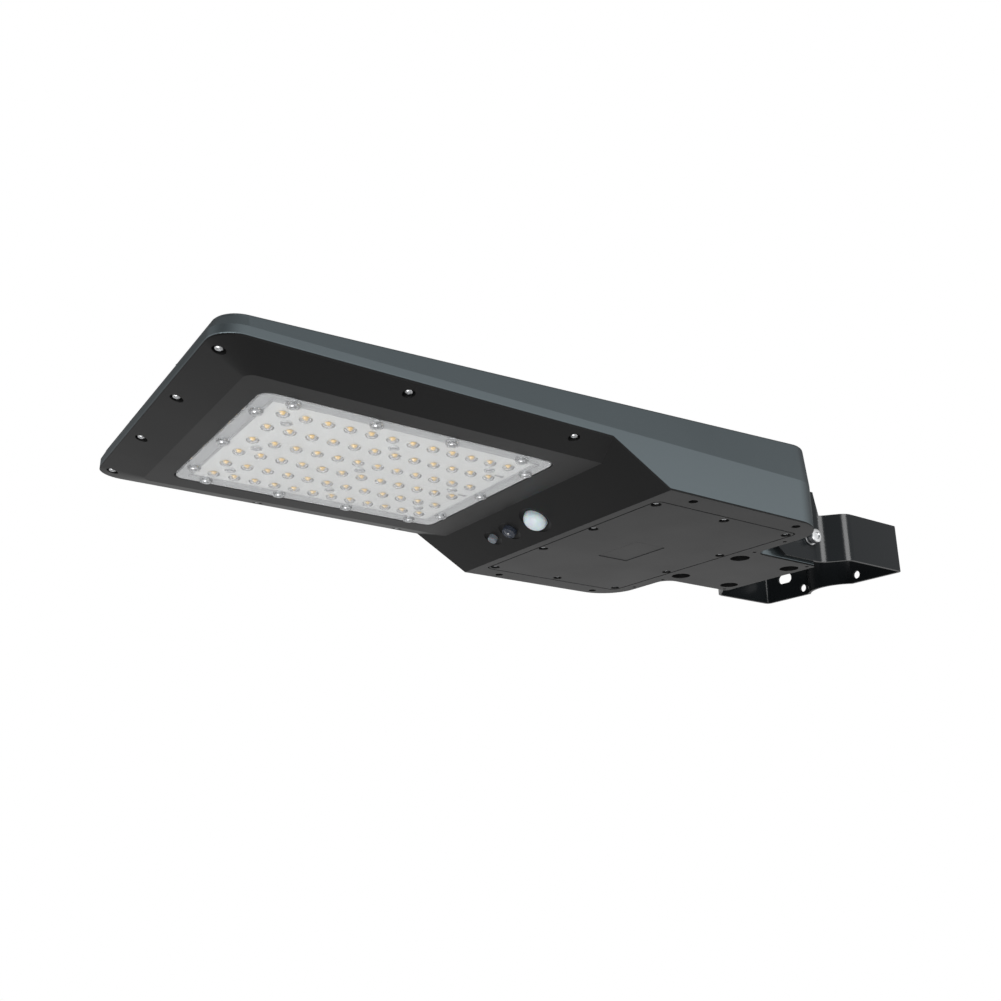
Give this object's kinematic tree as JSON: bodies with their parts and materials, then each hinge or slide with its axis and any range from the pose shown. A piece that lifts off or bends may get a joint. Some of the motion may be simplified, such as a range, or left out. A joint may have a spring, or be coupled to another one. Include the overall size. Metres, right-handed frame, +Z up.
{
  "type": "solar street lamp",
  "caption": "All-in-one solar street lamp: tapered shell with a solar panel roof, lensed light plate, battery box, motion sensor and a tilting folded pole bracket.",
  "frame": {"origin": "middle of the plane of the bracket's back plate, where the lamp seats on its pole", "axes": "+X from the pole towards the lamp's tip, +Z up, +Y to the lamp's left"},
  "size_m": [0.7945, 0.3246, 0.0816],
  "materials": {
    "gunmetal": "cast aluminium under satin blue-grey metallic powder coat",
    "black_paint": "cast aluminium under satin black powder coat",
    "bracket_paint": "dark satin powder coat on folded steel",
    "solar_glass": "dark monocrystalline cells under clear glass",
    "black_rubber": "matte",
    "clear_plastic": "clear polycarbonate",
    "white_board": "white solder mask",
    "bare_aluminium": "mill finish",
    "blue_wrap": "shrink wrap over cells",
    "green_board": "solder mask with parts",
    "milky_plastic": "milky faceted dome",
    "grey_plastic": "grey translucent cap",
    "bright_steel": "bright stainless",
    "dark_steel": "oxidised spring steel"
  },
  "bodies": {
    "bracket": {"bracket": "bracket_paint", "pivot_bolt_left": "bright_steel", "pivot_washer_left": "bright_steel", "spring_washer_left": "dark_steel", "pivot_nut_left": "bright_steel", "pivot_bolt_right": "bright_steel", "pivot_washer_right": "bright_steel", "spring_washer_right": "dark_steel", "pivot_nut_right": "bright_steel"},
    "head": {"upper_shell": "gunmetal", "lower_housing": "black_paint", "battery_cover": "black_paint", "solar_panel": "solar_glass", "panel_seal": "black_rubber", "lens_plate": "clear_plastic", "lens_gasket": "black_rubber", "led_board": "white_board", "heat_plate": "bare_aluminium", "cover_gasket": "black_rubber", "battery_pack": "blue_wrap", "battery_strap": "bare_aluminium", "charge_controller": "green_board", "sensor_board": "green_board", "pir_dome": "milky_plastic", "indicator_lens": "clear_plastic", "lens_screw_01": "bright_steel", "lens_screw_02": "bright_steel", "lens_screw_03": "bright_steel", "lens_screw_04": "bright_steel", "lens_screw_05": "bright_steel", "lens_screw_06": "bright_steel", "lens_screw_07": "bright_steel", "lens_screw_08": "bright_steel", "lens_screw_09": "bright_steel", "lens_screw_10": "bright_steel", "lens_screw_11": "bright_steel", "lens_screw_12": "bright_steel", "lens_screw_13": "bright_steel", "lens_screw_14": "bright_steel", "cover_screw_01": "bright_steel", "cover_screw_02": "bright_steel", "cover_screw_03": "bright_steel", "cover_screw_04": "bright_steel", "cover_screw_05": "bright_steel", "cover_screw_06": "bright_steel", "cover_screw_07": "bright_steel", "cover_screw_08": "bright_steel", "cover_screw_09": "bright_steel", "cover_screw_10": "bright_steel", "flange_screw_01": "bright_steel", "flange_screw_02": "bright_steel", "flange_screw_03": "bright_steel", "flange_screw_04": "bright_steel", "flange_screw_05": "bright_steel", "flange_screw_06": "bright_steel", "flange_screw_07": "bright_steel", "flange_screw_08": "bright_steel"},
    "button": {"power_button": "grey_plastic"}
  },
  "joints": [
    {"name": "head_tilt", "type": "hinge", "parent": "bracket", "child": "head", "pos_m": [0.121, 0, -0.001], "axis": [0, -1, 0], "range_deg": [-20, 30]},
    {"name": "button_press", "type": "slide", "parent": "head", "child": "button", "axis": [-0.4856, 0, 0.8742], "range_m": [0, 0.0015], "stiffness_N_per_m": 600}
  ]
}
